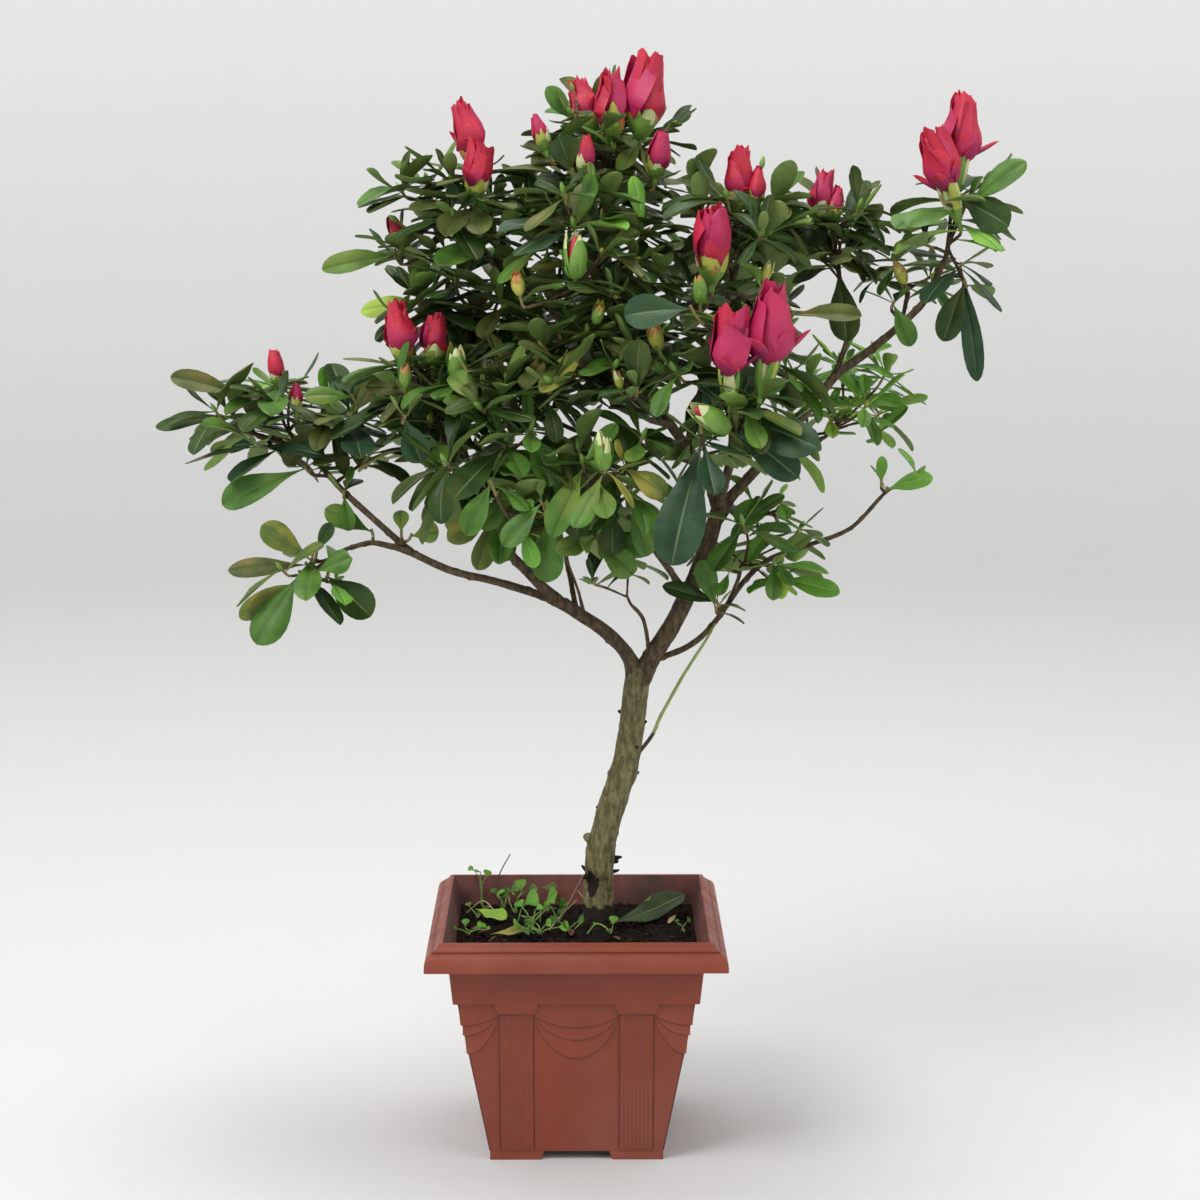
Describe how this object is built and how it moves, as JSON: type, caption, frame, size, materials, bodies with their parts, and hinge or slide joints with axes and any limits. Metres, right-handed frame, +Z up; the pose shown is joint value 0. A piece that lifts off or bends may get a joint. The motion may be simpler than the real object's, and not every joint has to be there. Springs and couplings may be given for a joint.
{
  "type": "potted azalea bonsai tree",
  "caption": "Small azalea grown as a bonsai tree: a leaning trunk that forks, an open spreading crown of leaf rosettes with red blossom, in a square plastic pot.",
  "frame": {"origin": "middle of the pot's footprint, on the surface that it stands on", "axes": "+Z up; +X to the viewer's right along the pot's front face; -Y towards the viewer, the side that the picture shows"},
  "size_m": [0.4897, 0.2591, 0.6287],
  "materials": {
    "pot": "satin terracotta-brown moulded plastic, scuffed and a little dusty",
    "soil": "near-black moist potting soil with fine crumbs",
    "bark": "rough grey-brown bark with old leaf scars and ridges",
    "green_bark": "smooth young green bark",
    "foliage": "satin dark green leaves with a pale midrib and paler undersides",
    "blossom": "soft crimson-rose petals, darker at their base"
  },
  "bodies": {
    "root": {"back_left_bough": "bark", "back_middle_bough": "bark", "back_right_bough": "bark", "back_top_bough": "bark", "centre_bough": "bark", "centre_front_bough": "bark", "centre_left_bough": "bark", "crown_bough": "bark", "front_left_bough": "bark", "front_middle_bough": "bark", "front_right_bough": "bark", "green_sucker": "green_bark", "inner_twig": "bark", "leader": "bark", "leaves_back_left": "foliage", "leaves_back_middle": "foliage", "leaves_back_right": "foliage", "leaves_back_top": "foliage", "leaves_centre": "foliage", "leaves_centre_front": "foliage", "leaves_centre_left": "foliage", "leaves_front_left": "foliage", "leaves_front_middle": "foliage", "leaves_front_right": "foliage", "leaves_inner": "foliage", "leaves_left_low": "foliage", "leaves_left_shoulder": "foliage", "leaves_left_tip": "foliage", "leaves_low_back": "foliage", "leaves_low_right": "foliage", "leaves_low_right_tip": "foliage", "leaves_mid_left": "foliage", "leaves_right_back": "foliage", "leaves_right_inner": "foliage", "leaves_right_shoulder": "foliage", "leaves_right_tip": "foliage", "leaves_top": "foliage", "leaves_upper_left": "foliage", "leaves_upper_right": "foliage", "left_bare_twig": "bark", "left_bough": "bark", "left_inner_bough": "bark", "left_low_bough": "bark", "left_outer_bough": "bark", "left_shoulder_bough": "bark", "left_tip_bough": "bark", "low_back_bough": "bark", "low_right_bough": "bark", "low_right_twig": "bark", "mid_left_bough": "bark", "pot": "pot", "right_back_bough": "bark", "right_bough": "bark", "right_inner_bough": "bark", "right_shoulder_bough": "bark", "soil": "soil", "trunk": "bark", "upper_left_bough": "bark", "upper_right_bough": "bark"}
  },
  "joints": []
}
